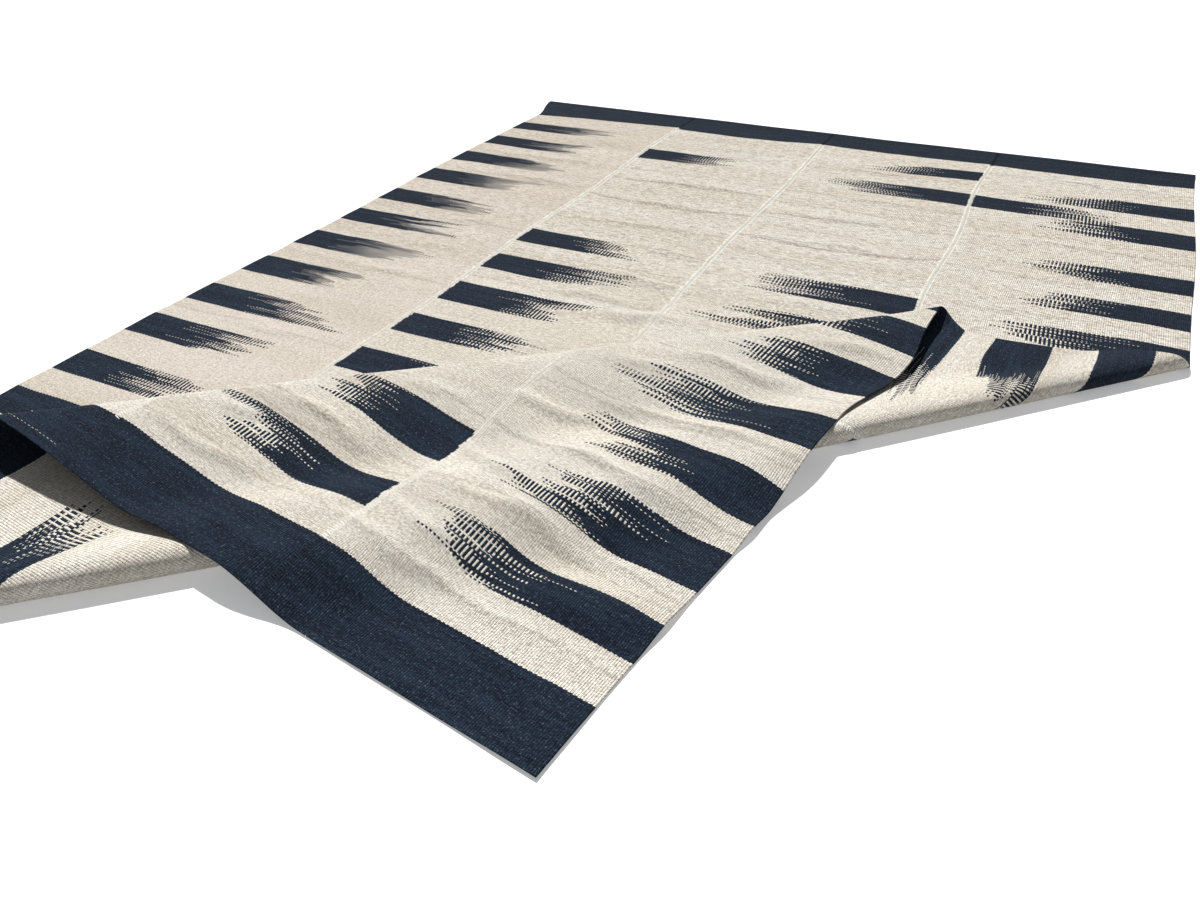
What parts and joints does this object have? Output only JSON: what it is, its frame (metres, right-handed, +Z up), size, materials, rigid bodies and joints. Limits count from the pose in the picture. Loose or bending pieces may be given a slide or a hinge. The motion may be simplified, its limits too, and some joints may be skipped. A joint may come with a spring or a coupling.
{
  "type": "kilim rug",
  "caption": "Hand-woven wool kilim rug of sewn strips, cream with feathered navy bars and end bands, one front corner folded back and forward again.",
  "frame": {"origin": "on the floor at the middle of the rug's outline", "axes": "+X across the rug towards its right selvage, +Y along the rug from the front end to the far end, +Z up"},
  "size_m": [2.4476, 3.6109, 0.1004],
  "materials": {
    "wool_1": "matte",
    "wool_2": "matte",
    "wool_3": "matte",
    "wool_4": "matte"
  },
  "bodies": {
    "root": {"panel_1": "wool_1", "panel_2": "wool_2", "panel_3": "wool_3", "panel_4": "wool_4"}
  },
  "joints": []
}
